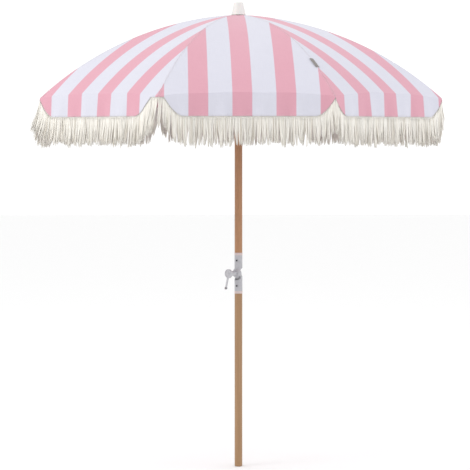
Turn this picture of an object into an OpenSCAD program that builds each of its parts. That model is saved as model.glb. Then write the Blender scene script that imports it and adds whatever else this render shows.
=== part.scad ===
// Fringed garden parasol: two-part wooden pole with a tilt joint, eight folding ribs with stretchers,
// and a striped eight-panel cloth cover with a hanging valance and fringe.
// Millimetres, +Z up, origin at the centre of the pole foot. One panel faces -Y.

/* [Overall] */
// Height of the cloth at its peak above the pole foot
peak_z = 2208; // [1800:1:2600]
// Radius of the cloth at a rib end
canopy_r = 1015; // [700:1:1300]
// How far the rib ends sit below the peak of the cloth
canopy_drop = 412; // [250:1:600]
// How far beyond the pole axis the centre of each panel's curve lies
panel_c = 100; // [0:5:300]
// Number of ribs and panels
panels = 8; // [8:1:8]

/* [Cloth] */
// Thickness of the cover cloth
cloth_t = 1.2; // [0.8:0.1:2.5]
// Depth of the valance at the middle of a panel
valance_mid = 88; // [50:1:150]
// Depth of the valance at a rib end
valance_rib = 10; // [6:1:60]
// Width of the rounded corner of the valance scallop
scallop_w = 85; // [40:1:200]
// Height of the tape that carries the fringe
tape_h = 17; // [8:1:30]
// Length of the fringe strands below the tape
fringe_h = 113; // [40:1:200]
// Thickness of the fringe curtain
fringe_t = 2.4; // [1:0.1:6]
// Radius of the opening in the cloth round the crown stud
peak_hole_r = 12; // [10:0.5:20]

/* [Pole] */
// Radius of both pole sections
pole_r = 19; // [14:0.5:25]
// Radius of the turned-down pole ends inside the brackets
tenon_r = 17.6; // [13:0.1:24.5]
// Height of the tilt joint axis
joint_z = 951; // [700:1:1200]
// Length of each bracket from the joint axis
bracket_l = 100; // [70:1:140]
// Distance from the joint axis to each pole end
pole_gap = 40; // [34:1:60]
// Chamfer on the free ends of the pole
pole_chamfer = 2; // [0.5:0.5:5]

/* [Tilt joint] */
// Outer radius of the bracket sockets
bracket_r = 19.5; // [19:0.1:26]
// Compass direction of the bolt, on the side of the clamp lever
bolt_az = 225; // [0:1:360]
// Radius of the tilt bolt
bolt_r = 5; // [3:0.1:8]
// Half the gap between the two tongues, filled by the friction disc
tongue_gap = 1.6; // [1:0.1:4]
// Offset of the clamped faces from the pole axis, towards the lever
mate_x = 5; // [0:0.5:6]
// Radius of the upper bracket's rounded tongue
tongue_r = 19; // [14:0.5:19]
// Radius of the lower bracket's rounded tongue
lug_r = 13.5; // [11:0.5:15]
// Radius of the raised boss under the clamp disc
boss_r = 24; // [16:0.5:25]
// Length of the collar at each bracket mouth
collar_h = 12; // [6:1:20]
// Compass direction of the visible bracket screws
screw_az = 244; // [0:1:360]
// Height of each bracket screw from the joint axis
screw_dz = 62; // [50:1:80]
// Radius of the clamp disc
knob_r = 22; // [15:0.5:30]
// Distance from the pole axis to the outer face of the clamp disc
knob_out = 76; // [60:1:100]
// Length of the lever from the bolt axis to its tip
lever_l = 80; // [50:1:120]
// Lean of the lever arm from upright
lever_lean = 14; // [0:1:30]

/* [Crown and cap] */
// Radius of the cap at the bottom
cap_r1 = 35; // [25:0.5:50]
// Radius of the cap at the top
cap_r2 = 23; // [15:0.5:40]
// Height of the cap
cap_h = 61; // [30:0.1:80]
// Radius of the crown flange that holds the ribs
crown_r = 40; // [34:0.5:50]
// Distance from the pole axis to the rib hinge pins
rib_pivot_r = 27; // [24:0.5:32]
// Depth of the rib hinge pins below the peak
rib_pivot_drop = 9.5; // [8:0.1:14]

/* [Ribs and stretchers] */
// Radius of the rib wire
rib_r = 2.5; // [1.5:0.1:4]
// Radius of the arc the ribs are bent to
rib_arc_r = 1692; // [1200:0.1:2200]
// Radial position of the centre of the rib arc
rib_arc_cx = -92; // [-200:0.1:60]
// Distance from the pole axis to the rib ends
rib_end_r = 1003; // [700:1:1300]
// Distance from the pole axis to the stretcher joint on a rib
clip_at_r = 430; // [300:1:600]
// Drop of the stretcher pivot under the rib wire
clip_drop = 9.5; // [8:0.1:14]
// Distance from the pole axis to the stretcher pivots in the runner
runner_pivot_r = 33; // [30:0.5:40]
// Height of the stretcher pivots in the runner with the parasol open
runner_z = 1800; // [1600:1:1900]
// Thickness of the flattened eyes
eye_t = 3; // [2:0.1:4]
// Radius of the flattened eyes
eye_r = 4.4; // [3.5:0.1:6]
// Radius of the small hinge pins
pin_r = 1.5; // [1:0.1:2]

/* [Runner] */
// Length of the runner sleeve below its flange
runner_l = 70; // [40:1:100]
// Outer radius of the runner sleeve
runner_r = 23; // [21:0.5:28]
// Radius of the runner flange
runner_flange_r = 42; // [36:0.5:48]
// Gap between the runner and the pole
runner_gap = 0.35; // [0.1:0.05:1]

/* [Label] */
// Length of the plain label on the seam
label_l = 78; // [30:1:100]
// Width of the label
label_w = 18; // [10:1:30]
// Distance from the pole axis to the middle of the label
label_at_r = 813; // [300:1:950]

/* [Part to show] */
// Name of the sub-part to draw, or all

/* [Hidden] */
$fn = 96;
half = 180 / panels;
rim_s = canopy_r * cos(half);
panel_k = (rim_s * rim_s + 2 * rim_s * panel_c + canopy_drop * canopy_drop) / (2 * canopy_drop);
panel_r = sqrt(panel_c * panel_c + panel_k * panel_k);
panel_cz = peak_z - panel_k;
hem_z = peak_z - canopy_drop;
half_w = canopy_r * sin(half);
seam_gap = 0.15;
seam_lap = 1.5;
fit = 0.05;
hinge_fit = 0.06;
pivot_z = peak_z - rib_pivot_drop;
rib_cz = pivot_z - sqrt(pow(rib_arc_r, 2) - pow(rib_pivot_r - rib_arc_cx, 2));
rib_a0 = asin((rib_pivot_r - rib_arc_cx) / rib_arc_r);
rib_a1 = asin((rib_end_r - rib_arc_cx) / rib_arc_r);
rib_flat = 16;
rib_af = rib_a0 + rib_flat / rib_arc_r * 180 / PI;
clip_a = asin((clip_at_r - rib_arc_cx) / rib_arc_r);
clip_x = rib_arc_cx + (rib_arc_r - clip_drop) * sin(clip_a);
clip_z = rib_cz + (rib_arc_r - clip_drop) * cos(clip_a);
clip_l = 12;
cheek_t = 1.5;
cheek_gap = eye_t / 2 + 0.2;
str_dx = clip_x - runner_pivot_r;
str_dz = clip_z - runner_z;
str_l = sqrt(str_dx * str_dx + str_dz * str_dz);
str_a = atan2(str_dz, str_dx);
str_flat = 14;
pocket_l = 24;
pocket_r = 4.4;
tip_r = 2.5;
flange_up = 7;
flange_down = 5;
slot_w = eye_t + 0.6;
seat_w = 1.9;
seat_slope = 0.72;
upper_foot_z = joint_z + pole_gap;
upper_top_z = peak_z - 22;
hub_low_z = peak_z - 72;
flange_low_z = peak_z - 18;
flange_top_z = peak_z - 5.2;
stud_r = 9;
stud_top_z = peak_z + 40;
cap_z = peak_z - 0.2;
cap_round = 6;
catch_z = runner_z - flange_down - runner_l - 0.5;
catch_l = 30;
catch_out = 6;
pad_r = 7;
head_r = 4;
head_h = 2.4;
shank_r = 2;
boss_in = 7;
boss_mid = 11;
boss_flat = 16;
boss_x = 21.5;
boss_face_r = 17;
lug_back = 7;
shoulder_z = 36;
blend_z = 38;
pocket_wall = 4;
bolt_head_r = 8;
bolt_head_h = 4.5;
disc_r = 12.5;
neck_r = 12;
disc_h = 11;
ring_r0 = 10;
ring_r1 = 17;
ring_d = 1.5;
hub_r = 6.5;
arm_w = 8;
arm_t = 6;
tip_l = 11;
scallop_power = 1.8;
steps = 24;

wood_red = [0.66, 0.48, 0.35];
wood_tan = [0.68, 0.55, 0.41];
paint = [0.75, 0.75, 0.77];
steel = [0.62, 0.63, 0.65];
plastic = [0.93, 0.92, 0.90];
collar_c = [0.80, 0.70, 0.68];
pink = [0.91, 0.71, 0.76];
valance_c = [0.87, 0.69, 0.72];
cream = [0.87, 0.85, 0.82];
dark = [0.12, 0.12, 0.13];
grey = [0.55, 0.52, 0.49];

function rib_az(k) = -90 + half + 2 * half * (k - 1);
function scallop(u) = u >= scallop_w ? valance_mid
    : valance_rib + (valance_mid - valance_rib) * (1 - pow(1 - u / scallop_w, scallop_power));
function along(a, b, n, i) = a + (b - a) * i / n;

// A cylinder lying along X from x0 to x1 at height z
module rod_x(r, x0, x1, z) {
  translate([x0, 0, z]) rotate([0, 90, 0]) cylinder(h = x1 - x0, r = r);
}

// A cylinder lying along Y, centred on y = 0, at radial position x and height z
module rod_y(r, l, x, z) {
  translate([x, l / 2, z]) rotate([90, 0, 0]) cylinder(h = l, r = r);
}

// Turns a part drawn in the X-Z plane to rib k
module at_rib(k) {
  rotate([0, 0, rib_az(k)]) children();
}

// ---- pole ----
module pilot_holes(z) {
  for (a = [0, 180])
    rotate([0, 0, screw_az + a]) rod_x(shank_r + fit, 6, pole_r + 1, z);
}

module lower_pole() {
  color(wood_tan)
  difference() {
    union() {
      cylinder(h = pole_chamfer, r1 = pole_r - pole_chamfer, r2 = pole_r);
      translate([0, 0, pole_chamfer])
        cylinder(h = joint_z - bracket_l - pole_chamfer, r = pole_r);
      translate([0, 0, pole_chamfer])
        cylinder(h = joint_z - pole_gap - pole_chamfer, r = tenon_r);
    }
    pilot_holes(joint_z - screw_dz);
  }
}

module upper_pole() {
  color(wood_red)
  difference() {
    union() {
      translate([0, 0, upper_foot_z]) cylinder(h = bracket_l, r = tenon_r);
      translate([0, 0, joint_z + bracket_l])
        cylinder(h = upper_top_z - joint_z - bracket_l, r = pole_r);
    }
    pilot_holes(joint_z + screw_dz);
    rotate([0, 0, 90])
      translate([pole_r - catch_out - 1, -1.3, catch_z - catch_l - 1])
        cube([catch_out + 3, 2.6, catch_l + 2]);
  }
}

module spring_catch() {
  color(steel)
  rotate([0, 0, 90]) translate([0, 1, catch_z]) rotate([90, 0, 0])
  linear_extrude(height = 2)
    polygon([[pole_r - catch_out, 0], [pole_r + catch_out, 0], [pole_r + catch_out, -2],
             [pole_r - 1, -catch_l], [pole_r - catch_out, -catch_l]]);
}

// ---- tilt joint; drawn with the bolt along X and the joint axis at z = 0 ----
module at_joint() {
  translate([0, 0, joint_z]) rotate([0, 0, bolt_az]) children();
}

// Side view of a bracket: a round tongue of radius r that widens into the socket
module tongue_shape(r) {
  circle(r = r);
  polygon([[-r, 0], [r, 0], [bracket_r + 1, blend_z], [bracket_r + 1, bracket_l],
           [-bracket_r - 1, bracket_l], [-bracket_r - 1, blend_z]]);
}

// The outside of a bracket before its slanting cuts
module bracket_body(r) {
  intersection() {
    translate([0, 0, -r]) cylinder(h = bracket_l - collar_h + r, r = bracket_r);
    translate([-bracket_r - 1, 0, 0]) rotate([90, 0, 90])
      linear_extrude(height = 2 * bracket_r + 2) tongue_shape(r);
  }
}

// An outline in the X-Z plane cut right through a bracket
module cut_y() {
  translate([0, 30, 0]) rotate([90, 0, 0]) linear_extrude(height = 60) children();
}

// Bore for the pole, the hollow below it beside the tongue, and the bolt hole
module bracket_bore(x0, x1) {
  translate([0, 0, pole_gap]) cylinder(h = bracket_l, r = tenon_r + fit);
  intersection() {
    translate([0, 0, 5]) cylinder(h = pole_gap - 4, r = bracket_r - pocket_wall);
    translate([x0, -30, 0]) cube([x1 - x0, 60, bracket_l]);
  }
  rod_x(bolt_r + hinge_fit, -40, 40, 0);
}

module boss() {
  rod_x(boss_r, boss_mid, boss_flat, 0);
  translate([boss_in, 0, 0]) rotate([0, 90, 0])
    cylinder(h = boss_mid - boss_in, r1 = tongue_r, r2 = boss_r);
  translate([boss_flat, 0, 0]) rotate([0, 90, 0])
    cylinder(h = boss_x - boss_flat, r1 = boss_r, r2 = boss_face_r);
}

module upper_casting() {
  difference() {
    union() {
      bracket_body(tongue_r);
      boss();
    }
    // slanting cut on the side away from the lever
    cut_y() polygon([[mate_x + tongue_gap, -bracket_l], [mate_x + tongue_gap, lug_r + 2.5],
                     [-bracket_r - 1, shoulder_z - 3], [-bracket_r - 1, -bracket_l]]);
    bracket_bore(-bracket_r, mate_x + tongue_gap + 1);
  }
}

// Drawn pointing up and mirrored into place
module lower_casting() {
  difference() {
    bracket_body(lug_r);
    // slanting cut under the boss
    cut_y() polygon([[mate_x - tongue_gap, -bracket_l], [mate_x - tongue_gap, boss_r + 2],
                     [bracket_r + 1, shoulder_z], [bracket_r + 1, -bracket_l]]);
    // sloping back with a flat for the bolt head
    cut_y() polygon([[-lug_back, -bracket_l], [-lug_back, bolt_head_r + 0.5],
                     [-bracket_r, blend_z], [-bracket_r - 2, blend_z],
                     [-bracket_r - 2, -bracket_l]]);
    bracket_bore(mate_x - tongue_gap - 1, bracket_r);
  }
}

// Round pads under the two screw heads of a bracket
module screw_pads() {
  difference() {
    for (a = [0, 180])
      rotate([0, 0, screw_az - bolt_az + a]) rod_x(pad_r, tenon_r, bracket_r + 1, screw_dz);
    cylinder(h = 200, r = tenon_r + fit);
  }
}

module screw_cuts() {
  for (a = [0, 180])
    rotate([0, 0, screw_az - bolt_az + a]) rod_x(shank_r + fit, 5, bracket_r + 6, screw_dz);
}

module collar() {
  translate([0, 0, bracket_l - collar_h])
  difference() {
    cylinder(h = collar_h, r = bracket_r + 0.4);
    translate([0, 0, -1]) cylinder(h = collar_h + 2, r = tenon_r + fit);
  }
}

module screws() {
  for (a = [0, 180])
    rotate([0, 0, screw_az - bolt_az + a]) {
      rod_x(shank_r, 7, bracket_r + 2, screw_dz);
      rod_x(head_r, bracket_r + 1, bracket_r + 1 + head_h, screw_dz);
    }
}

module upper_bracket() {
  color(paint)
  at_joint() difference() {
    union() {
      upper_casting();
      screw_pads();
    }
    screw_cuts();
  }
}

module lower_bracket() {
  color(paint)
  at_joint() mirror([0, 0, 1]) difference() {
    union() {
      lower_casting();
      screw_pads();
    }
    screw_cuts();
  }
}

module upper_collar() { color(collar_c) at_joint() collar(); }
module lower_collar() { color(collar_c) at_joint() mirror([0, 0, 1]) collar(); }
module upper_screws() { color(dark) at_joint() screws(); }
module lower_screws() { color(dark) at_joint() mirror([0, 0, 1]) screws(); }

module tilt_bolt() {
  color(steel)
  at_joint() {
    rod_x(bolt_r, -lug_back - 1, knob_out - disc_h, 0);
    rod_x(bolt_head_r, -lug_back - bolt_head_h, -lug_back, 0);
  }
}

module friction_disc() {
  color(dark)
  at_joint() difference() {
    rod_x(disc_r, mate_x - tongue_gap, mate_x + tongue_gap - 0.2, 0);
    rod_x(bolt_r + fit, -20, 20, 0);
  }
}

module clamp_lever() {
  color(paint)
  at_joint() difference() {
    union() {
      rod_x(neck_r, boss_x + 0.2, knob_out - disc_h + 1, 0);
      rod_x(knob_r - 1.5, knob_out - disc_h, knob_out, 0);
      rod_x(knob_r, knob_out - disc_h + 1.5, knob_out - 1.5, 0);
      rod_x(hub_r, knob_out - 2, knob_out + 1.5, 0);
      rotate([-lever_lean, 0, 0])
      translate([knob_out - disc_h + 2.5, -arm_w / 2, -lever_l + tip_l])
        cube([arm_t, arm_w, lever_l - tip_l - knob_r + 4]);
    }
    // shallow ring round the hub
    difference() {
      rod_x(ring_r1, knob_out - ring_d, knob_out + 1, 0);
      rod_x(ring_r0, knob_out - ring_d - 1, knob_out + 2, 0);
    }
    rod_x(bolt_r + hinge_fit, 0, knob_out - disc_h + 0.5, 0);
  }
}

module lever_tip() {
  color(grey)
  at_joint() rotate([-lever_lean, 0, 0]) {
    translate([knob_out - disc_h + 1.5, -arm_w / 2 - 1, -lever_l + 4])
      cube([arm_t + 2, arm_w + 2, tip_l - 4]);
    translate([knob_out - disc_h + 1.5, 0, -lever_l + arm_w / 2 + 1])
      rotate([0, 90, 0]) cylinder(h = arm_t + 2, r = arm_w / 2 + 1);
  }
}

// ---- crown ----
module crown_hub() {
  color(plastic)
  difference() {
    union() {
      translate([0, 0, hub_low_z]) cylinder(h = flange_low_z - hub_low_z + 1, r = runner_r);
      translate([0, 0, flange_low_z]) cylinder(h = flange_top_z - flange_low_z, r = crown_r);
      cylinder(h = stud_top_z, r = stud_r);
    }
    translate([0, 0, -1]) cylinder(h = upper_top_z + 1, r = pole_r + fit);
    for (k = [1 : panels]) at_rib(k) {
      translate([rib_pivot_r - eye_r - 0.6, -slot_w / 2, flange_low_z - 1])
        cube([crown_r, slot_w, 30]);
      rod_y(pin_r + fit / 2, 12, rib_pivot_r, pivot_z);
    }
  }
}

module crown_pins() {
  color(steel)
  for (k = [1 : panels]) at_rib(k) rod_y(pin_r, 11.8, rib_pivot_r, pivot_z);
}

module top_cap() {
  color(plastic)
  difference() {
    rotate_extrude() {
      translate([0, cap_z])
        polygon([[0, 0], [cap_r1, 0], [cap_r2 + 0.8, cap_h - cap_round], [0, cap_h - cap_round]]);
      translate([0, cap_z]) square([cap_r2 - cap_round + 0.5, cap_h]);
      translate([cap_r2 - cap_round + 0.5, cap_z + cap_h - cap_round])
        circle(r = cap_round);
    }
    cylinder(h = stud_top_z + 0.2, r = stud_r + fit);
  }
}

// ---- runner ----
module runner() {
  color(plastic)
  translate([0, 0, runner_z])
  difference() {
    union() {
      translate([0, 0, -flange_down])
        cylinder(h = flange_up + flange_down, r = runner_flange_r);
      translate([0, 0, -flange_down - runner_l]) cylinder(h = runner_l + 1, r = runner_r);
      translate([0, 0, -flange_down - runner_l]) cylinder(h = 5, r = runner_r + 2);
    }
    translate([0, 0, -200]) cylinder(h = 400, r = pole_r + runner_gap);
    for (k = [1 : panels]) at_rib(k) {
      translate([runner_pivot_r - eye_r - 0.8, -slot_w / 2, -flange_down - 1])
        cube([runner_flange_r, slot_w, flange_up + flange_down + 2]);
      // seat for the stretcher pin, open below
      translate([0, 4.5, 0]) rotate([90, 0, 0]) linear_extrude(height = 9)
        polygon([[runner_pivot_r - seat_w, seat_w], [runner_pivot_r + seat_w, seat_w],
                 [runner_pivot_r + seat_w, 0],
                 [runner_pivot_r + seat_w + seat_slope * (flange_down + 1), -flange_down - 1],
                 [runner_pivot_r - seat_w, -flange_down - 1]]);
    }
  }
}

// ---- ribs and stretchers ----
module rib(k) {
  color(steel)
  at_rib(k) difference() {
    union() {
      // round wire bent to an arc, from the flattened end to the tip
      translate([rib_arc_cx, 0, rib_cz]) rotate([90, 0, 0])
      rotate([0, 0, 90 - rib_a1])
      rotate_extrude(angle = rib_a1 - rib_af, $fn = 720)
        translate([rib_arc_r, 0]) circle(r = rib_r, $fn = 24);
      // rounded tip
      translate([rib_arc_cx + rib_arc_r * sin(rib_a1), 0, rib_cz + rib_arc_r * cos(rib_a1)])
        sphere(r = tip_r, $fn = 32);
      // flattened end with its eye
      rod_y(eye_r, eye_t, rib_pivot_r, pivot_z);
      translate([rib_pivot_r, -eye_t / 2, pivot_z - rib_r]) rotate([0, rib_a0, 0])
        cube([rib_flat + 4, eye_t, 2 * rib_r]);
      // two cheeks of the stretcher clip
      translate([rib_arc_cx, 0, rib_cz]) rotate([0, clip_a, 0])
      translate([-clip_l / 2, 0, rib_arc_r - clip_drop - eye_r]) {
        translate([0, cheek_gap, 0]) cube([clip_l, cheek_t, clip_drop + eye_r + 1]);
        translate([0, -cheek_gap - cheek_t, 0]) cube([clip_l, cheek_t, clip_drop + eye_r + 1]);
      }
      // rivet through the cheeks
      rod_y(pin_r, 2 * (cheek_gap + cheek_t) + 2, clip_x, clip_z);
    }
    rod_y(pin_r + hinge_fit, 10, rib_pivot_r, pivot_z);
  }
}

module stretcher(k) {
  color(steel)
  at_rib(k) translate([runner_pivot_r, 0, runner_z]) rotate([0, -str_a, 0]) difference() {
    union() {
      rod_x(rib_r, str_flat - 2, str_l - str_flat + 2, 0);
      rod_y(eye_r, eye_t, 0, 0);
      rod_y(eye_r, eye_t, str_l, 0);
      translate([0, -eye_t / 2, -rib_r]) cube([str_flat, eye_t, 2 * rib_r]);
      translate([str_l - str_flat, -eye_t / 2, -rib_r]) cube([str_flat, eye_t, 2 * rib_r]);
      rod_y(pin_r, 8, 0, 0);
    }
    rod_y(pin_r + hinge_fit, 10, str_l, 0);
  }
}

// ---- cloth ----
// Upright wedge between the rib seam and the middle of the panel on side s, drawn with the
// middle of the panel along X
module half_wedge(s, r0, r1, z0, z1) {
  translate([0, 0, z0]) linear_extrude(height = z1 - z0)
    polygon([[r0, -s * seam_gap], [r1, -s * seam_gap],
             [r1, -s * (r1 * tan(half) + seam_lap)], [r0, -s * (r0 * tan(half) + seam_lap)]]);
}

module half_panel(s) {
  rotate([0, 0, s * half])
  intersection() {
    translate([-panel_c, 0, panel_cz]) rotate([90, 0, 0])
    translate([0, 0, -half_w - 10]) linear_extrude(height = 2 * half_w + 20)
    difference() {
      circle(r = panel_r, $fn = 1440);
      circle(r = panel_r - cloth_t, $fn = 1440);
    }
    half_wedge(s, peak_hole_r, rim_s, hem_z - cloth_t - 40, peak_z + 5);
  }
}

module rib_pocket() {
  difference() {
    translate([rib_arc_cx, 0, rib_cz]) rotate([0, rib_a1, 0])
      translate([-pocket_l + 5, 0, rib_arc_r]) rotate([0, 90, 0]) cylinder(h = pocket_l, r = pocket_r);
    translate([rib_arc_cx, 0, rib_cz]) rotate([0, rib_a1, 0])
      translate([-pocket_l, 0, rib_arc_r]) rotate([0, 90, 0])
        cylinder(h = pocket_l + 3, r = rib_r + 0.3);
  }
}

module canopy(k, c) {
  color(c)
  at_rib(k) {
    half_panel(1);
    half_panel(-1);
    rib_pocket();
  }
}

// Outline of half a valance in the plane of the panel, u from the rib seam to the panel middle
module valance_shape(top, w, low) {
  polygon(concat(
    [[0, top], [w, top]],
    [for (i = [0 : steps]) let (u = along(w, 0, steps, i)) [u, -scallop(u) - low]]
  ));
}

module half_flap(s, x0, x1, top, low) {
  rotate([0, 0, s * half])
  intersection() {
    translate([x0, -s * half_w, hem_z]) rotate([90, 0, 90])
      scale([s, 1, 1]) linear_extrude(height = x1 - x0) valance_shape(top, half_w + 2, low);
    half_wedge(s, rim_s - 10, rim_s + 10, hem_z - 400, hem_z + 10);
  }
}

module valance(k) {
  color(valance_c)
  at_rib(k) {
    half_flap(1, rim_s - cloth_t, rim_s, -cloth_t * 2, 0);
    half_flap(-1, rim_s - cloth_t, rim_s, -cloth_t * 2, 0);
  }
}

module half_fringe(s) {
  rotate([0, 0, s * half])
  intersection() {
    translate([rim_s, -s * half_w, hem_z]) rotate([90, 0, 90]) scale([s, 1, 1])
    linear_extrude(height = fringe_t)
      polygon(concat(
        [for (i = [0 : steps]) let (u = along(-4, half_w + 2, steps, i))
          [u, -scallop(max(0, u)) + 4]],
        [for (i = [0 : steps]) let (u = along(half_w + 2, -4, steps, i))
          [u, -scallop(max(0, u)) - tape_h - fringe_h]]
      ));
    half_wedge(s, rim_s - 10, rim_s + 10, hem_z - 400, hem_z + 10);
  }
}

module fringe(k) {
  color(cream)
  at_rib(k) {
    half_fringe(1);
    half_fringe(-1);
  }
}

module seam_label() {
  s = label_at_r * cos(half);
  rise = sqrt(panel_r * panel_r - pow(s + panel_c, 2));
  z = panel_cz + rise;
  a = atan((s + panel_c) * cos(half) / rise);
  color(grey)
  at_rib(1) translate([label_at_r, 0, z]) rotate([0, a, 0])
    translate([-label_l / 2, -label_w / 2, 0.6]) cube([label_l, label_w, 0.8]);
}

module rib_1() { rib(1); }
module rib_2() { rib(2); }
module rib_3() { rib(3); }
module rib_4() { rib(4); }
module rib_5() { rib(5); }
module rib_6() { rib(6); }
module rib_7() { rib(7); }
module rib_8() { rib(8); }
module stretcher_1() { stretcher(1); }
module stretcher_2() { stretcher(2); }
module stretcher_3() { stretcher(3); }
module stretcher_4() { stretcher(4); }
module stretcher_5() { stretcher(5); }
module stretcher_6() { stretcher(6); }
module stretcher_7() { stretcher(7); }
module stretcher_8() { stretcher(8); }
module canopy_1() { canopy(1, pink); }
module canopy_2() { canopy(2, pink); }
module canopy_3() { canopy(3, pink); }
module canopy_4() { canopy(4, pink); }
module canopy_5() { canopy(5, pink); }
module canopy_6() { canopy(6, pink); }
module canopy_7() { canopy(7, pink); }
module canopy_8() { canopy(8, pink); }
module valance_1() { valance(1); }
module valance_2() { valance(2); }
module valance_3() { valance(3); }
module valance_4() { valance(4); }
module valance_5() { valance(5); }
module valance_6() { valance(6); }
module valance_7() { valance(7); }
module valance_8() { valance(8); }
module fringe_1() { fringe(1); }
module fringe_2() { fringe(2); }
module fringe_3() { fringe(3); }
module fringe_4() { fringe(4); }
module fringe_5() { fringe(5); }
module fringe_6() { fringe(6); }
module fringe_7() { fringe(7); }
module fringe_8() { fringe(8); }

lower_pole();
lower_bracket();
lower_collar();
lower_screws();
tilt_bolt();
friction_disc();
clamp_lever();
lever_tip();
upper_bracket();
upper_collar();
upper_screws();
upper_pole();
spring_catch();
crown_hub();
crown_pins();
top_cap();
runner();
rib_1();
rib_2();
rib_3();
rib_4();
rib_5();
rib_6();
rib_7();
rib_8();
stretcher_1();
stretcher_2();
stretcher_3();
stretcher_4();
stretcher_5();
stretcher_6();
stretcher_7();
stretcher_8();
canopy_1();
canopy_2();
canopy_3();
canopy_4();
canopy_5();
canopy_6();
canopy_7();
canopy_8();
valance_1();
valance_2();
valance_3();
valance_4();
valance_5();
valance_6();
valance_7();
valance_8();
fringe_1();
fringe_2();
fringe_3();
fringe_4();
fringe_5();
fringe_6();
fringe_7();
fringe_8();
seam_label();
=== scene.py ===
import bpy, math
import numpy as np
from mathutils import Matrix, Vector


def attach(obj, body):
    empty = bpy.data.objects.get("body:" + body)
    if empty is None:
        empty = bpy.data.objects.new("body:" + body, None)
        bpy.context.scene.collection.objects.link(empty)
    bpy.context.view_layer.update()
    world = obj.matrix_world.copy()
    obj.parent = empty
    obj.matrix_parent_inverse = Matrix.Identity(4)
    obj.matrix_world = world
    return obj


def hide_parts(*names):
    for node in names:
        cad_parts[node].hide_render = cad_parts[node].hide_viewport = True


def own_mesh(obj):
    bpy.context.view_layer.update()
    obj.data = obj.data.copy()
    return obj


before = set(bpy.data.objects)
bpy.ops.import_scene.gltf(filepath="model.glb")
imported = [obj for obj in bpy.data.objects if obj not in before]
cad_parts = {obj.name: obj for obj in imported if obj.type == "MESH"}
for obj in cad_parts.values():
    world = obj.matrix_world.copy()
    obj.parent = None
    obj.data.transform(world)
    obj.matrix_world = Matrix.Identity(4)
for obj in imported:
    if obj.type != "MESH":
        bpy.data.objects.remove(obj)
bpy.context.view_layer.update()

# ---- sizes in metres; those of the cover, the ribs and the label are the CAD part's ----
HALF = math.radians(22.5)
TAN = math.tan(HALF)
PEAK = 2.208         # height of the cloth at its top
TIP_R = 1.015        # from the pole's axis to a corner of the cover
DROP = 0.412         # from the top of the cloth down to its hem
HOLE = 0.012         # radius of the opening round the crown's stud
BEYOND = 0.100       # how far past the axis the arc of a panel is centred
RIM = TIP_R * math.cos(HALF)
PANEL_K = (RIM ** 2 + 2 * RIM * BEYOND + DROP ** 2) / (2 * DROP)
PANEL_R = math.hypot(BEYOND, PANEL_K)
PANEL_Z = PEAK - PANEL_K
HEM = PEAK - DROP
HALF_W = RIM * TAN
DEEP = 0.088         # depth of the valance away from its corners
SHALLOW = 0.010      # depth of the valance at a corner
SCALLOP = 0.085      # width of a rounded corner
TAPE = 0.017         # depth of the tape that holds the fringe
HEM_BOW = 0.020      # how far the hem curves in between its corners
LATE_FRONT = 0.026   # how far from rib 8 the scallop starts on the front panel
LATE_LEFT = 0.045    # and on the left panel, where the corner of the fringe spreads wide
WIDE_LATE = 0.03     # a corner whose scallop starts further off than this spreads wide
STRAND = 0.113       # length of a strand below the tape
STRAND_STEP = 0.0031  # from one strand of a row to the next
RINGS, SIDES = 8, 4  # points along a strand and round it
# the tape's cross-section: how far below the edge of the cloth, and how far out
TAPE_PROFILE = [(-0.004, -0.0012), (0.0, -0.0012), (0.006, -0.0006), (0.012, 0.0006), (TAPE, 0.0002),
                (TAPE, -0.0022), (0.006, -0.0034), (-0.004, -0.0034)]
PERIOD = 0.1934      # from one stripe to the next of its colour
PINK_W = 0.0872      # width of a pink stripe
ARC_R = 1.692        # radius that the ribs are bent to
ARC_X = -0.092       # where the rib arc is centred, along the rib's own direction
PIVOT_R = 0.027      # from the pole's axis to the rib hinges
PIVOT_DROP = 0.0095  # from the top of the cloth down to the rib hinges
RIB_END_R = 1.003    # from the pole's axis to the rib ends
LABEL_R = 0.813      # from the pole's axis to the middle of the label
LABEL_L = 0.078
LABEL_W = 0.018
# how far each panel's stripes lie off its middle, by the direction in degrees that it faces
SHIFT = {-90: -0.019, -45: 0.022, 0: -0.012, 45: 0.017, 90: -0.024, 135: 0.008, 180: -0.015, 225: 0.028}


# ---- materials ----
def lin(c):
    """A colour of 0 to 255 a channel, as the linear values that a shader takes."""
    shares = [x / 255 for x in c]
    return tuple(v / 12.92 if v <= 0.04045 else ((v + 0.055) / 1.055) ** 2.4 for v in shares) + (1.0,)


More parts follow.
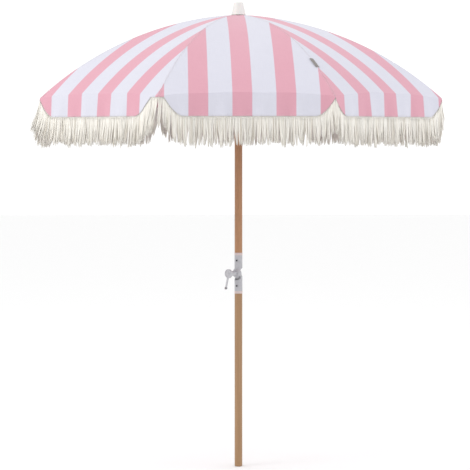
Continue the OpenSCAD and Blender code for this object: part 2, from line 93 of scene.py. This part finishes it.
class Mat:
    """A small helper that builds one procedural material."""

    def __init__(self, name, rough=0.6, **sockets):
        self.m = bpy.data.materials.new(name)
        self.m.use_nodes = True
        self.t = self.m.node_tree
        self.b = self.t.nodes["Principled BSDF"]
        self.b.inputs["Roughness"].default_value = rough
        for k, v in sockets.items():
            self.b.inputs[k.replace("_", " ")].default_value = v
        self.co = self.t.nodes.new("ShaderNodeTexCoord").outputs["Object"]

    def link(self, a, b):
        self.t.links.new(a, b)

    def node(self, kind, ins=None, **attrs):
        n = self.t.nodes.new("ShaderNode" + kind)
        for k, v in attrs.items():
            setattr(n, k, v)
        for k, v in (ins or {}).items():
            s = n.inputs[k]
            if isinstance(v, bpy.types.NodeSocket):
                self.link(v, s)
            else:
                s.default_value = v
        return n

    def math(self, op, a, b=0.0, clamp=False):
        return self.node("Math", {0: a, 1: b}, operation=op, use_clamp=clamp).outputs[0]

    def scaled(self, sx, sy, sz, co=None):
        return self.node("Mapping", {"Vector": co or self.co, "Scale": (sx, sy, sz)}).outputs[0]

    def noise(self, scale, detail=3.0, co=None, rough=0.5, dist=0.0):
        return self.node("TexNoise", {"Vector": co or self.co, "Scale": scale, "Detail": detail,
                                      "Roughness": rough, "Distortion": dist}).outputs[0]

    def ramp(self, fac, stops):
        n = self.node("ValToRGB", {"Fac": fac})
        e = n.color_ramp.elements
        while len(e) < len(stops):
            e.new(0.5)
        for s, (p, c) in zip(e, stops):
            s.position, s.color = p, c
        return n.outputs["Color"]

    def mix(self, fac, a, b, mode="MIX"):
        n = self.node("Mix", data_type="RGBA", blend_type=mode)
        for i, v in ((0, fac), (6, a), (7, b)):
            if isinstance(v, bpy.types.NodeSocket):
                self.link(v, n.inputs[i])
            else:
                n.inputs[i].default_value = v
        return n.outputs[2]

    def span(self, v, a, b, c=0.0, d=1.0):
        return self.node("MapRange", {0: v, 1: a, 2: b, 3: c, 4: d}, clamp=True).outputs[0]

    def colour(self, c):
        self.link(c, self.b.inputs["Base Color"])

    def rough(self, v):
        self.link(v, self.b.inputs["Roughness"])

    def bump(self, height, dist, strength=1.0, over=None):
        n = self.node("Bump", {"Height": height, "Distance": dist, "Strength": strength})
        if over is not None:
            self.link(over, n.inputs["Normal"])
        self.link(n.outputs[0], self.b.inputs["Normal"])
        return n.outputs[0]

    def uv(self, name):
        n = self.node("UVMap", uv_map=name)
        s = self.node("SeparateXYZ", {0: n.outputs[0]})
        return n.outputs[0], s.outputs[0], s.outputs[1]


def cloth_material(name):
    m = Mat(name, rough=0.86)
    m.b.inputs["Sheen Weight"].default_value = 0.18
    m.b.inputs["Sheen Roughness"].default_value = 0.45
    m.b.inputs["Specular IOR Level"].default_value = 0.25
    uv, u, _ = m.uv("cloth")
    _, d, along = m.uv("edge")
    # wide stripes with slightly ragged yarn edges
    wob = m.math("MULTIPLY", m.math("SUBTRACT", m.noise(260, 2, uv), 0.5), 0.0012)
    uu = m.math("ADD", u, wob)
    f = m.math("FRACT", m.math("ADD", m.math("DIVIDE", uu, PERIOD), 100.5))
    dist = m.math("MULTIPLY", m.math("ABSOLUTE", m.math("SUBTRACT", f, 0.5)), PERIOD)
    pink = m.span(dist, PINK_W / 2 - 0.0006, PINK_W / 2 + 0.0006, 1.0, 0.0)
    slow = m.noise(2.3, 3, uv)
    p = m.mix(slow, lin((201, 147, 161)), lin((208, 157, 171)))
    w = m.mix(slow, lin((196, 196, 208)), lin((204, 204, 214)))
    c = m.mix(pink, w, p)
    # yarns: each thread a little lighter or darker
    warp = m.noise(1.0, 2, m.scaled(1500, 14, 1, uv))
    weft = m.noise(1.0, 2, m.scaled(14, 1500, 1, uv))
    yarn = m.span(m.math("ADD", warp, weft), 0.7, 1.3, 0.955, 1.03)
    c = m.mix(1.0, c, m.node("CombineColor", {0: yarn, 1: yarn, 2: yarn}).outputs[0], "MULTIPLY")
    # two rows of stitches beside each seam or edge
    rows = []
    for at in (0.0022, 0.0058):
        off = m.math("ABSOLUTE", m.math("SUBTRACT", m.math("ABSOLUTE", d), at))
        line = m.span(off, 0.0003, 0.0006, 1.0, 0.0)
        dash = m.math("LESS_THAN", m.math("FRACT", m.math("DIVIDE", along, 0.0042)), 0.66)
        rows.append(m.math("MULTIPLY", line, dash))
    stitch = m.math("MAXIMUM", *rows)
    # painted shade: the cloth is darkened in a narrow band along each seam and edge, where its crease falls
    # into shade; the same mask also dents it by bump
    crease_and_shade = m.span(m.math("ABSOLUTE", d), 0.0002, 0.0016, 1.0, 0.0)
    c = m.mix(m.math("MULTIPLY", stitch, 0.5), c, lin((226, 220, 220)))
    c = m.mix(m.math("MULTIPLY", crease_and_shade, 0.22), c, lin((150, 122, 128)))
    m.colour(c)
    threads = {"Vector": uv, "Scale": 520.0, "Distortion": 0.4, "Detail": 1.0}
    wa = m.node("TexWave", threads, bands_direction="X")
    wb = m.node("TexWave", threads, bands_direction="Y")
    weave = m.math("MULTIPLY", m.math("ADD", wa.outputs[1], wb.outputs[1]), 0.5)
    slub = m.noise(90, 3, uv)
    h = m.math("ADD", m.math("MULTIPLY", weave, 0.5), m.math("MULTIPLY", slub, 0.5))
    first = m.bump(h, 0.0004, 0.55)
    m.bump(m.math("SUBTRACT", stitch, m.math("MULTIPLY", crease_and_shade, 0.8)), 0.0007, 0.8, over=first)
    m.rough(m.span(slub, 0.3, 0.7, 0.80, 0.92))
    return m.m


def wood_material(name, light, mid, dark):
    m = Mat(name, rough=0.45)
    m.b.inputs["Coat Weight"].default_value = 0.22
    m.b.inputs["Coat Roughness"].default_value = 0.28
    long = m.scaled(1, 1, 0.045)
    wavy = m.noise(38, 5, long, 0.62, 0.9)
    growth = {"Vector": m.scaled(1, 0.55, 0.03), "Scale": 44.0, "Distortion": 5.5,
              "Detail": 3.0, "Detail Scale": 1.4}
    rings = m.node("TexWave", growth, wave_type="BANDS", bands_direction="X").outputs[1]
    base = m.ramp(m.math("ADD", m.math("MULTIPLY", wavy, 0.8), m.math("MULTIPLY", rings, 0.2)),
                  [(0.12, dark), (0.5, mid), (0.92, light)])
    pores = m.noise(420, 3, m.scaled(1, 1, 0.02), 0.6)
    pore = m.span(pores, 0.60, 0.70)
    c = m.mix(m.math("MULTIPLY", pore, 0.28), base, dark)
    blotch = m.noise(5.5, 3, m.scaled(1, 1, 0.5))
    c = m.mix(m.span(blotch, 0.35, 0.75, 0.0, 0.32), c, mid)
    m.colour(c)
    m.rough(m.span(pores, 0.3, 0.75, 0.36, 0.58))
    m.bump(m.math("SUBTRACT", wavy, pore), 0.0004, 0.35)
    return m.m


def paint_material(name, colour, worn, rough=0.38):
    m = Mat(name, rough=rough)
    m.b.inputs["Coat Weight"].default_value = 0.2
    m.b.inputs["Coat Roughness"].default_value = 0.2
    n = m.noise(55, 4)
    fine = m.noise(900, 2)
    scuff = m.span(m.noise(210, 4, m.scaled(1, 1, 0.25), 0.7), 0.66, 0.74)
    c = m.mix(m.span(n, 0.3, 0.7), colour, tuple(v * 0.93 for v in colour[:3]) + (1,))
    m.colour(m.mix(m.math("MULTIPLY", scuff, 0.5), c, worn))
    m.rough(m.span(n, 0.3, 0.7, rough - 0.06, rough + 0.1))
    m.bump(m.math("ADD", fine, m.math("MULTIPLY", n, 0.6)), 0.00025, 0.5)
    return m.m


def steel_material(name, colour, rough=0.34):
    m = Mat(name, rough=rough, Metallic=0.92)
    drawn = m.noise(300, 3, m.scaled(1, 1, 0.08))
    spangle = m.node("TexVoronoi", {"Vector": m.co, "Scale": 130.0}).outputs["Color"]
    tone = m.math("ADD", m.math("MULTIPLY", drawn, 0.5), m.math("MULTIPLY", spangle, 0.4))
    m.colour(m.ramp(tone, [(0.2, tuple(v * 0.8 for v in colour[:3]) + (1,)), (0.75, colour)]))
    m.rough(m.span(drawn, 0.3, 0.7, rough - 0.07, rough + 0.12))
    m.bump(drawn, 0.0002, 0.3)
    return m.m


def plastic_material(name, colour, rough=0.45):
    m = Mat(name, rough=rough)
    m.b.inputs["Subsurface Weight"].default_value = 0.04
    grain = m.noise(700, 2)
    slow = m.noise(30, 3)
    m.colour(m.mix(m.span(slow, 0.3, 0.7), colour, tuple(v * 0.94 for v in colour[:3]) + (1,)))
    m.rough(m.span(slow, 0.3, 0.7, rough - 0.05, rough + 0.08))
    m.bump(grain, 0.0002, 0.4)
    return m.m


def yarn_material():
    m = Mat("fringe_yarn", rough=0.9)
    m.b.inputs["Sheen Weight"].default_value = 0.12
    m.b.inputs["Specular IOR Level"].default_value = 0.2
    _, u, v = m.uv("cloth")        # u: a number per strand, v: metres along it
    _, a, row = m.uv("edge")       # a: turns round the strand, row: 0 front, 1 back
    tone = m.noise(1.0, 0, m.node("CombineXYZ", {0: m.math("MULTIPLY", u, 91.7)}).outputs[0])
    c = m.ramp(tone, [(0.25, lin((216, 209, 196))), (0.42, lin((237, 233, 225))), (0.6, lin((245, 243, 238))),
                      (0.8, lin((229, 226, 213)))])
    ply = m.math("FRACT", m.math("ADD", m.math("DIVIDE", v, 0.0042), a))
    ply_groove_and_shade = m.span(m.math("ABSOLUTE", m.math("SUBTRACT", ply, 0.5)), 0.3, 0.5, 0.0, 1.0)
    # painted shade: the yarn is darkened in the grooves between its plies
    c = m.mix(m.math("MULTIPLY", ply_groove_and_shade, 0.3), c, lin((182, 172, 156)))
    c = m.mix(m.span(v, 0.02, 0.12, 0.0, 0.08), c, lin((190, 180, 166)))
    # painted shade: the back row of strands is darker, as if shaded by the front row
    c = m.mix(m.math("MULTIPLY", row, 0.22), c, lin((186, 180, 166)))
    m.colour(c)
    m.bump(m.math("SUBTRACT", 1.0, ply_groove_and_shade), 0.0006, 0.9)
    return m.m


def tape_material():
    m = Mat("fringe_tape", rough=0.88)
    m.b.inputs["Sheen Weight"].default_value = 0.12
    uv, u, v = m.uv("cloth")
    cord = m.math("ABSOLUTE", m.math("SUBTRACT", m.math("FRACT", m.math("DIVIDE", u, 0.0022)), 0.5))
    rib = m.math("ABSOLUTE", m.math("SUBTRACT", m.math("FRACT", m.math("DIVIDE", v, 0.0034)), 0.5))
    knit = m.math("ADD", cord, m.math("MULTIPLY", rib, 0.8))
    n = m.noise(120, 3, uv)
    c = m.mix(m.span(knit, 0.1, 0.8), lin((230, 229, 225)), lin((200, 196, 187)))
    c = m.mix(m.span(n, 0.45, 0.8, 0.0, 0.4), c, lin((196, 190, 178)))
    m.colour(c)
    m.bump(knit, 0.0008, 0.8)
    return m.m


CANOPY = cloth_material("canopy_stripe")
YARN, TAPE_M = yarn_material(), tape_material()
WOOD_TOP = wood_material("wood_upper", lin((180, 137, 99)), lin((166, 120, 82)), lin((141, 97, 64)))
WOOD_LOW = wood_material("wood_lower", lin((168, 133, 97)), lin((153, 118, 82)), lin((131, 98, 65)))
PAINT = paint_material("bracket_grey", lin((176, 176, 180)), lin((148, 148, 152)))
KNOB = paint_material("knob_grey", lin((184, 184, 188)), lin((150, 150, 155)), 0.34)
STEEL = steel_material("zinc_steel", lin((205, 207, 210)))
SCREW = steel_material("dark_screw", lin((70, 70, 74)), 0.4)
WHITE = plastic_material("white_plastic", lin((219, 220, 217)))
COLLAR = plastic_material("collar_plastic", lin((203, 186, 184)), 0.55)
DARK = plastic_material("dark_tip", lin((120, 120, 124)), 0.6)
# painted shade: the friction disc is made dark grey to stand for the deep shadow between the two castings of
# the tilt joint
DISC_SHADE = plastic_material("disc_shade_grey", lin((62, 62, 66)), 0.75)


# ---- mesh helpers ----
def make(name, verts, faces, mats, uv=None, edge=None, face_mat=None):
    """A mesh object; uv and edge hold one pair of numbers for each vertex."""
    me = bpy.data.meshes.new(name)
    me.from_pydata([tuple(v) for v in verts], [], [tuple(int(i) for i in f) for f in faces])
    loops = np.empty(len(me.loops), dtype=np.int64)
    me.loops.foreach_get("vertex_index", loops)
    for label, data in (("cloth", uv), ("edge", edge)):
        if data is not None:
            layer = me.uv_layers.new(name=label)
            layer.data.foreach_set("uv", np.asarray(data, float)[loops].astype(np.float32).ravel())
    for mt in mats:
        me.materials.append(mt)
    if face_mat is not None:
        me.polygons.foreach_set("material_index", np.asarray(face_mat, dtype=np.int32))
    me.polygons.foreach_set("use_smooth", np.ones(len(me.polygons), dtype=bool))
    me.update()
    ob = bpy.data.objects.new(name, me)
    bpy.context.scene.collection.objects.link(ob)
    return ob


def grid_faces(rows, cols, flip=False):
    out = []
    for i in range(rows - 1):
        for j in range(cols - 1):
            a, b, c, d = i * cols + j, i * cols + j + 1, (i + 1) * cols + j + 1, (i + 1) * cols + j
            out.append((a, d, c, b) if flip else (a, b, c, d))
    return out


def turned(az, s, y, z):
    """Points of a panel whose middle looks along az, from distance s, sideways y and height z."""
    c, n = math.cos(az), math.sin(az)
    return np.stack([s * c - y * n, s * n + y * c, z], axis=-1)


def rib_az(k):
    """The direction of a rib, seen from above; rib 1 is the one to the right of the front panel."""
    return math.radians(-67.5 + 45 * (k - 1))


# ---- the cloth ----
def dome(s):
    return PANEL_Z + np.sqrt(PANEL_R ** 2 - (s + BEYOND) ** 2)


def hem_s(q):
    return RIM - HEM_BOW * (1 - q ** 2)


def bunched(k, side):
    """How far from its rib a scallop starts: beside rib 8 the fringe is gathered up to the hem."""
    return (LATE_FRONT if side > 0 else LATE_LEFT) if k == 8 else 0.0


def scallop(u, late=0.0):
    """Depth of the valance at distance u from its rib."""
    k = np.clip(1 - np.maximum(u - late, 0) / (SCALLOP + 0.65 * late * (late > WIDE_LATE)), 0, 1)
    top = SHALLOW * (0.5 if late else 1)
    return top + (DEEP - top) * (1 - k ** 1.8)


def ripple(p, s, y, q):
    """Slack in one panel: a shallow sag and soft drags from the rib ends."""
    w = np.clip((s - HOLE) / (RIM - HOLE), 0, 1)
    free = 1 - q ** 2
    sag = 0.009 * free * np.sin(math.pi * np.clip(w, 0, 1) ** 0.9)
    ph = 1.7 * p
    drag = 0.0016 * w ** 3 * free * np.sin(9.0 * y / HALF_W + 5.0 * w + ph)
    slow = 0.0022 * w ** 2 * free * np.sin(3.1 * y / HALF_W - 7.0 * w + 2.1 * ph)
    return -sag + drag + slow


def half_canopy(k, side, az_mid):
    """The half panel of cover on one side of rib k; d is the distance from its seam, q is 1 there."""
    p = round(math.degrees(az_mid))
    nw, nt = 90, 22
    w = np.linspace(0, 1, nw + 1)[:, None]
    hw = (HOLE + (RIM - HOLE) * w) * TAN
    seam = np.array([0, 0.0018, 0.0036, 0.0062, 0.009])
    squeeze = np.minimum(1, hw / 0.03)
    t = np.linspace(0, 1, nt + 1)[1:][None, :]
    first = seam[None, :] * squeeze
    rest = first[:, -1:] + (hw - first[:, -1:]) * t
    d = np.concatenate([first, rest], axis=1)
    q = 1 - d / hw
    s = HOLE + (hem_s(q) - HOLE) * w
    y = q * s * TAN
    sign = -side
    z = dome(s) + ripple(p, s, y * sign, q)
    z = z + 0.0009 * np.interp(d, [0, 0.0036, 0.0062, 0.009], [1, 1, 0.15, 0]) * squeeze
    pts = turned(az_mid, s, y * sign, z).reshape(-1, 3)
    arc = PANEL_R * (np.arcsin((s + BEYOND) / PANEL_R) - math.asin(BEYOND / PANEL_R))
    uv = np.stack([(y * sign - SHIFT[p]), arc], axis=-1).reshape(-1, 2)
    edge = np.stack([d, arc * 1.02], axis=-1).reshape(-1, 2)
    faces = grid_faces(nw + 1, d.shape[1], side > 0)
    return make(f"canopy_{k}_{'ab'[side < 0]}", pts, faces, [CANOPY], uv, edge)


def flap_front(p, q, y, low):
    """How far the hanging valance stands out at depth share low."""
    wave = 0.0045 * np.sin(2 * math.pi * y / 0.19 + p) + 0.0028 * np.sin(2 * math.pi * y / 0.083 + 2.3 * p)
    return hem_s(q) + low * ((1 - q ** 6) * (wave + 0.006) + 0.001)


def half_valance(k, side, az_mid):
    """The half valance below that half panel; u is the distance from its rib, low is 1 at its edge."""
    p = round(math.degrees(az_mid))
    nt, nz = 56, 12
    u = HALF_W * (np.linspace(0, 1, nt + 1) ** 1.6)[None, :]
    q = 1 - u / HALF_W
    sign = -side
    low = np.linspace(0, 1, nz + 1)[:, None]
    top = dome(hem_s(q)) + ripple(p, hem_s(q), q * hem_s(q) * TAN * sign, q)
    bottom = HEM - scallop(u, bunched(k, side))
    z = top + (bottom - top) * low
    s = flap_front(math.radians(p), q, q * HALF_W * sign, low) + 0.0015 * low ** 0.5
    y = np.broadcast_to(q * HALF_W * sign, s.shape) * (hem_s(q) / RIM) ** (1 - low)
    pts = turned(az_mid, s, y, z).reshape(-1, 3)
    uv = np.stack([np.broadcast_to(y - SHIFT[p], s.shape), 1.1 + (top - z)], axis=-1).reshape(-1, 2)
    edge = np.stack([z - bottom + 0.0008, np.broadcast_to(u, s.shape)], axis=-1).reshape(-1, 2)
    faces = grid_faces(nz + 1, nt + 1, side > 0)
    return make(f"valance_{k}_{'ab'[side < 0]}", pts, faces, [CANOPY], uv, edge)


def edge_line(p, sign, n, late=0.0):
    """Points along the bottom edge of half a valance, evenly spaced along it."""
    u = np.linspace(0, HALF_W, 800)
    z = HEM - scallop(u, late)
    run = np.concatenate([[0], np.cumsum(np.hypot(np.diff(u), np.diff(z)))])
    at = np.linspace(0, run[-1], n)
    u, z = np.interp(at, run, u), np.interp(at, run, z)
    q = 1 - u / HALF_W
    y = q * HALF_W * sign
    s = flap_front(math.radians(p), q, y, 1.0)
    return at, u, q, y, z, s


def tape_strip(az_mid, side, line):
    """The tape behind the edge of the cloth: a closed cross-section, drawn along that edge."""
    at, u, q, y, z, s = line
    du, dz = np.gradient(u), np.gradient(z)
    ln = np.hypot(du, dz) + 1e-12
    nu, nz = dz / ln, -du / ln                      # away from the cloth, along the sheet
    verts, uv, faces = [], [], []
    for off, out in TAPE_PROFILE:
        uo = np.clip(u + nu * off, 0.0, HALF_W)
        yy = np.where(q > 0, (HALF_W - uo) * -side, 0 * y)
        verts.append(turned(az_mid, s + out, yy, z + nz * off))
        uv.append(np.stack([at, np.full(len(at), off)], axis=-1))
    n, m = len(at), len(TAPE_PROFILE)
    for i in range(m):
        for j in range(n - 1):
            a, b = i * n + j, i * n + j + 1
            c, d = ((i + 1) % m) * n + j + 1, ((i + 1) % m) * n + j
            faces.append((a, d, c, b) if side > 0 else (a, b, c, d))
    return np.concatenate(verts), np.concatenate(uv), faces


def uneven_tufts(r):
    """Where each tuft starts along the edge, its extra length, its lean, its gathering and its flare."""
    cuts = [-0.01]
    while cuts[-1] < HALF_W + 0.02:
        cuts.append(cuts[-1] + r.uniform(0.009, 0.027))
    n = len(cuts)
    more, lean = r.normal(0, 0.0065, n), r.normal(0, 0.0035, n)
    pull, out = r.uniform(0.35, 0.8, n), r.normal(0, 0.004, n)
    return np.array(cuts), more, lean, pull, out


def strand(r, tufts, u, z, s, row, wide, breeze):
    """One strand hung at u along the edge: its points sideways, outwards and up, and their way down."""
    cuts, more, lean, pull, out = tufts
    j = int(np.clip(np.searchsorted(cuts, u + r.normal(0, 0.0015)) - 1, 0, len(cuts) - 2))
    length = STRAND + 0.002 + more[j] + r.normal(0, 0.004) - (0.02 if r.random() < 0.05 else 0)
    centre = (cuts[j] + cuts[j + 1]) / 2
    corner = math.exp(-u / 0.045)
    sway = (centre - u) * pull[j] + lean[j] + r.normal(0, 0.0018)
    sway = sway + (0.004 if wide else -0.008) * corner
    if wide:
        length += 0.036 * math.exp(-(u / 0.075) ** 2) + r.normal(0, 0.004)
    flare = r.normal(0.005, 0.003) + out[j] + (0.026 if wide else 0.018) * corner
    flare = flare - 0.002 * row + breeze * (0.4 + corner)
    thick = r.uniform(0.0015, 0.0023)
    a1, a2, ph = r.normal(0, 0.0014), r.normal(0, 0.0010), r.uniform(0, 6.28)
    start = (0.004 if u > 0.02 else 0.001) + r.uniform(0, 0.005)
    length += TAPE - 0.006 - start
    t = np.linspace(0, 1, RINGS)
    cu = u + sway * t ** 1.6 + a1 * np.sin(5 * t + ph) * t
    cs = s + 0.0016 - 0.0034 * row + flare * t ** 1.4 + a2 * np.sin(6 * t + 2 * ph) * t
    cz = z - start - length * t
    rad = thick * np.interp(t, [0, 0.08, 0.8, 1], [0.6, 1, 1, 0.4])
    ang = np.arange(SIDES) * 2 * math.pi / SIDES + ph
    px = cu[:, None] + rad[:, None] * np.cos(ang)[None, :]
    ps = cs[:, None] + rad[:, None] * np.sin(ang)[None, :]
    pz = np.broadcast_to(cz[:, None], px.shape)
    return px, ps, pz, np.broadcast_to((length * t)[:, None], px.shape)


def strand_faces(base, side):
    """The faces of a strand whose first point is number base, with a cap at its lower end."""
    out = []
    for a in range(RINGS - 1):
        lo, hi = base + a * SIDES, base + (a + 1) * SIDES
        for b in range(SIDES):
            c = (b + 1) % SIDES
            out.append((lo + b, lo + c, hi + c, hi + b))
    out.append(tuple(base + (RINGS - 1) * SIDES + b for b in range(SIDES)))
    return out if side < 0 else [f[::-1] for f in out]


def half_fringe(k, side, az_mid):
    """Half a panel's fringe: the tape, and two rows of twisted yarns in uneven tufts."""
    sign = -side
    r = np.random.default_rng(1000 * k + (5 if side > 0 else 9))
    late = bunched(k, side)
    line = edge_line(round(math.degrees(az_mid)), sign, 110, late)
    at, u, _, _, z, s = line
    verts, uv, faces = tape_strip(az_mid, side, line)
    fmat = [0] * len(faces)
    V, U, E = [verts], [uv], [np.zeros_like(uv)]
    base = len(verts)
    tufts = uneven_tufts(r)
    breeze = -0.016 * math.cos(az_mid)
    turn = np.arange(SIDES) / SIDES
    for row in range(2):
        count = int(at[-1] / STRAND_STEP)
        pos = (np.arange(count) + 0.5 + 0.25 * row) * at[-1] / (count + 0.5) + r.normal(0, 0.0006, count)
        pos = np.clip(pos, 0.0006, at[-1] - 0.0006)
        places = zip(np.interp(pos, at, u), np.interp(pos, at, z), np.interp(pos, at, s))
        for i, place in enumerate(places):
            px, ps, pz, down = strand(r, tufts, *place, row, late > WIDE_LATE, breeze)
            V.append(turned(az_mid, ps, (HALF_W - px) * sign, pz).reshape(-1, 3))
            tone = r.random() * 40 + i * 0.37
            U.append(np.stack([np.full(px.shape, tone), down], axis=-1).reshape(-1, 2))
            E.append(np.stack([np.broadcast_to(turn[None, :], px.shape),
                               np.full(px.shape, float(row))], axis=-1).reshape(-1, 2))
            more = strand_faces(base, side)
            faces += more
            fmat += [1] * len(more)
            base += RINGS * SIDES
    uv, edge = np.concatenate(U), np.concatenate(E)
    return make(f"fringe_{k}_{'ab'[side < 0]}", np.concatenate(V), faces, [TAPE_M, YARN], uv, edge, fmat)


def drop_cloth():
    for k in range(1, 9):
        rib = rib_az(k)
        for side in (1, -1):
            mid = rib + side * HALF
            if math.degrees(mid) > 226:
                mid -= 2 * math.pi
            c = half_canopy(k, side, mid)
            v = half_valance(k, side, mid)
            f = half_fringe(k, side, mid)
            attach(c, f"rib_{k}")
            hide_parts(f"canopy_{k}")
            for o, slot_name, node in ((v, "valance_cloth", "valance"), (f, "fringe_cotton", "fringe")):
                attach(o, f"valance_{k}")
                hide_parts(f"{node}_{k}")
            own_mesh(c)
            for o in (v, f):
                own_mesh(o)


drop_cloth()


# ---- pockets that hold the rib ends, and the label ----
def pocket(k):
    """The pocket of cloth over the end of rib k."""
    cz = (PEAK - PIVOT_DROP) - math.sqrt(ARC_R ** 2 - (PIVOT_R - ARC_X) ** 2)
    end = math.asin((RIB_END_R - ARC_X) / ARC_R)
    verts, uv, edge = [], [], []
    rows, cols = 9, 13
    for i in range(rows):
        x = -0.022 + 0.027 * i / (rows - 1)
        a = end + x / ARC_R
        shut = 1 - 0.75 * max(0, (x - 0.001) / 0.004) ** 2
        for j in range(cols):
            t = math.pi * (-0.12 + 1.24 * j / (cols - 1))
            r = 0.0041 * shut + (0.0005 if i in (0, 1) else 0)
            wide = (0.006 if j in (0, cols - 1) else 0) * (1 if j else -1)
            yy = -r * math.cos(t) + wide * 0.6
            hh = -r * math.sin(t) + (0.0016 if j in (0, cols - 1) else 0)
            rr = ARC_R + hh
            verts.append((ARC_X + rr * math.sin(a), yy, cz + rr * math.cos(a)))
            uv.append((yy - 0.04, x + 0.9))
            edge.append((0.0058 - abs(abs(yy) - 0.0045), x))
    pts = turned(rib_az(k), *np.array(verts).T)
    ob = make(f"pocket_{k}", pts, grid_faces(rows, cols), [CANOPY], uv, edge)
    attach(ob, f"rib_{k}")


for k in range(1, 9):
    pocket(k)


def label_material():
    m = Mat("label_weave", rough=0.8)
    m.b.inputs["Sheen Weight"].default_value = 0.2
    uv, _, _ = m.uv("cloth")
    n = m.noise(1.0, 2, m.scaled(2600, 300, 1, uv))
    c = m.mix(m.span(n, 0.3, 0.7), lin((104, 99, 98)), lin((134, 129, 127)))
    _, d, along = m.uv("edge")
    line = m.span(m.math("ABSOLUTE", m.math("SUBTRACT", d, 0.0018)), 0.0003, 0.0006, 1.0, 0.0)
    dash = m.math("LESS_THAN", m.math("FRACT", m.math("DIVIDE", along, 0.003)), 0.6)
    st = m.math("MULTIPLY", line, dash)
    m.colour(m.mix(st, c, lin((196, 190, 182))))
    m.bump(m.math("ADD", n, st), 0.0004, 0.7)
    return m.m


def label():
    """A plain strip sewn along the seam over rib 1, falling to each side of it."""
    verts, uv, edge = [], [], []
    rows, cols = 29, 13
    for i in range(rows):
        share = i / (rows - 1)
        r = LABEL_R + (share - 0.5) * LABEL_L * math.cos(math.radians(35))
        z = float(dome(r * math.cos(HALF)))
        for j in range(cols):
            y = (j / (cols - 1) - 0.5) * LABEL_W
            fall = 0.19 * max(0.0, abs(y) - 0.001)
            lift = 0.0024 + 0.0006 * math.sin(i * 0.5) * abs(y) / LABEL_W
            verts.append((r, y, z - fall + lift))
            uv.append((y, share * LABEL_L))
            inside = min(LABEL_W / 2 - abs(y), LABEL_L / 2 - abs(share - 0.5) * LABEL_L)
            edge.append((inside, share * LABEL_L + y))
    pts = turned(rib_az(1), *np.array(verts).T)
    ob = make("seam_label_cloth", pts, grid_faces(rows, cols, True), [label_material()], uv, edge)
    s = ob.modifiers.new("thick", "SOLIDIFY")
    s.thickness, s.offset = 0.0008, 0
    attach(ob, "rib_1")
    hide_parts("seam_label")


label()


# ---- better finishes on the CAD pieces ----
def finish_node(name, mat):
    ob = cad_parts[name]
    if ob.data.materials:
        for i in range(len(ob.data.materials)):
            ob.data.materials[i] = mat
    else:
        ob.data.materials.append(mat)
    for s in ob.material_slots:
        s.material = mat


for n, mt in {"lower_pole": WOOD_LOW, "upper_pole": WOOD_TOP, "lower_bracket": PAINT, "upper_bracket": PAINT,
              "lower_collar": COLLAR, "upper_collar": COLLAR, "lower_screws": SCREW, "upper_screws": SCREW,
              "tilt_bolt": STEEL, "friction_disc": DISC_SHADE, "clamp_lever": KNOB, "lever_tip": DARK,
              "spring_catch": STEEL, "crown_hub": WHITE, "crown_pins": STEEL, "top_cap": WHITE,
              "runner": WHITE}.items():
    finish_node(n, mt)
for k in range(1, 9):
    finish_node(f"rib_{k}", STEEL)
    finish_node(f"stretcher_{k}", STEEL)


# ---- studio ----
def plain(name, colour, rough=0.9):
    m = Mat(name, rough=rough)
    n = m.noise(3.0, 2)
    m.colour(m.mix(n, colour, tuple(v * 0.99 for v in colour[:3]) + (1,)))
    return m.m


FAR = 30
corners = [(x, y, -0.001) for x, y in ((-FAR, -FAR), (FAR, -FAR), (FAR, FAR), (-FAR, FAR))]
floor = make("floor", corners, [(0, 1, 2, 3)], [plain("floor_pale", (0.88, 0.88, 0.88, 1))])
world = bpy.data.worlds.new("studio")
bpy.context.scene.world = world
world.use_nodes = True
world.node_tree.nodes["Background"].inputs[0].default_value = (1.0, 1.0, 1.0, 1)
world.node_tree.nodes["Background"].inputs[1].default_value = 1.1


def lamp(name, at, look, size, power, colour=(1, 1, 1)):
    d = bpy.data.lights.new(name, "AREA")
    d.size, d.energy, d.color = size, power, colour
    o = bpy.data.objects.new(name, d)
    bpy.context.scene.collection.objects.link(o)
    o.location = at
    o.rotation_euler = (Vector(look) - Vector(at)).to_track_quat("-Z", "Y").to_euler()


lamp("key", (-5.5, -2.6, 5.0), (0, 0, 1.7), 2.5, 150, (1.0, 0.995, 0.97))
lamp("fill", (6.4, -1.6, 4.2), (0, 0, 1.6), 3.0, 95, (0.98, 0.985, 1.0))

scene = bpy.context.scene
scene.view_settings.view_transform = "Standard"
scene.view_settings.look = "None"
cam_d = bpy.data.cameras.new("camera")
cam = bpy.data.objects.new("camera", cam_d)
scene.collection.objects.link(cam)
scene.camera = cam
cam.location = (-0.363, -9.29, 1.62)
cam.rotation_euler = (Vector((-0.017, 0.0, 1.137)) - Vector(cam.location)).to_track_quat("-Z", "Y").to_euler()
cam_d.angle = math.radians(14.07)
cam_d.clip_end = 200
